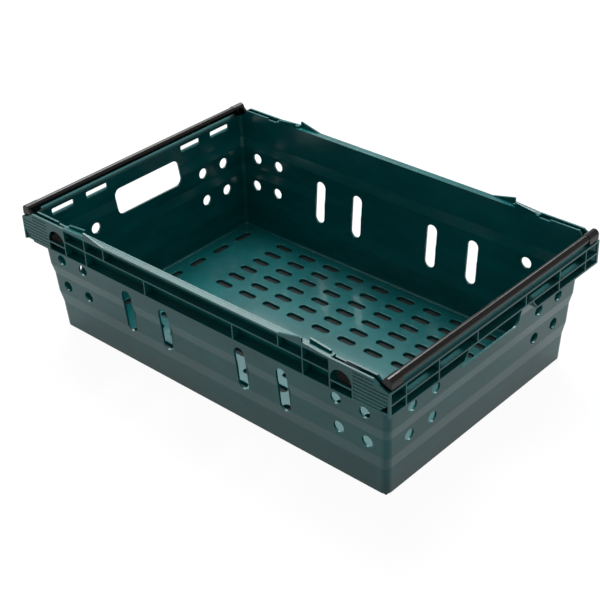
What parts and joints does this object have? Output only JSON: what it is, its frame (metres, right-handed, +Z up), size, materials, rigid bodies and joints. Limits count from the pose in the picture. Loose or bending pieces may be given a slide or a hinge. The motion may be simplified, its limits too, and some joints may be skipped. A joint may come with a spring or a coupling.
{
  "type": "produce crate",
  "caption": "Open produce crate with a slotted floor, vented stepped walls, a ribbed rim with end hand-holes, and swinging bale arms that let it stack or nest.",
  "frame": {"origin": "middle of the base, on the surface that the crate stands on", "axes": "+X along the length towards one hand-hole end, +Y across the width, +Z up"},
  "size_m": [0.6, 0.3996, 0.1858],
  "materials": {
    "tray_plastic": "satin moulded polypropylene, dark green",
    "arm_coating": "gloss black coated steel"
  },
  "bodies": {
    "tray": {"floor_panel": "tray_plastic", "front_wall": "tray_plastic", "back_wall": "tray_plastic", "left_end_wall_middle": "tray_plastic", "left_end_wall_front": "tray_plastic", "left_end_wall_back": "tray_plastic", "right_end_wall_middle": "tray_plastic", "right_end_wall_front": "tray_plastic", "right_end_wall_back": "tray_plastic", "front_left_corner": "tray_plastic", "front_right_corner": "tray_plastic", "back_left_corner": "tray_plastic", "back_right_corner": "tray_plastic", "front_rim": "tray_plastic", "back_rim": "tray_plastic", "left_end_rim": "tray_plastic", "right_end_rim": "tray_plastic", "front_left_hinge_pocket": "tray_plastic", "front_right_hinge_pocket": "tray_plastic", "back_left_hinge_pocket": "tray_plastic", "back_right_hinge_pocket": "tray_plastic"},
    "left_arm": {"left_bar": "arm_coating", "left_front_crank": "arm_coating", "left_back_crank": "arm_coating"},
    "right_arm": {"right_bar": "arm_coating", "right_front_crank": "arm_coating", "right_back_crank": "arm_coating"}
  },
  "joints": [
    {"name": "right_arm_swing", "type": "hinge", "parent": "tray", "child": "right_arm", "pos_m": [0.2338, 0, 0.1585], "axis": [0, -1, 0], "range_deg": [0, 135.5]},
    {"name": "left_arm_swing", "type": "hinge", "parent": "tray", "child": "left_arm", "pos_m": [-0.2338, 0, 0.1585], "axis": [0, 1, 0], "range_deg": [0, 135.5]}
  ]
}
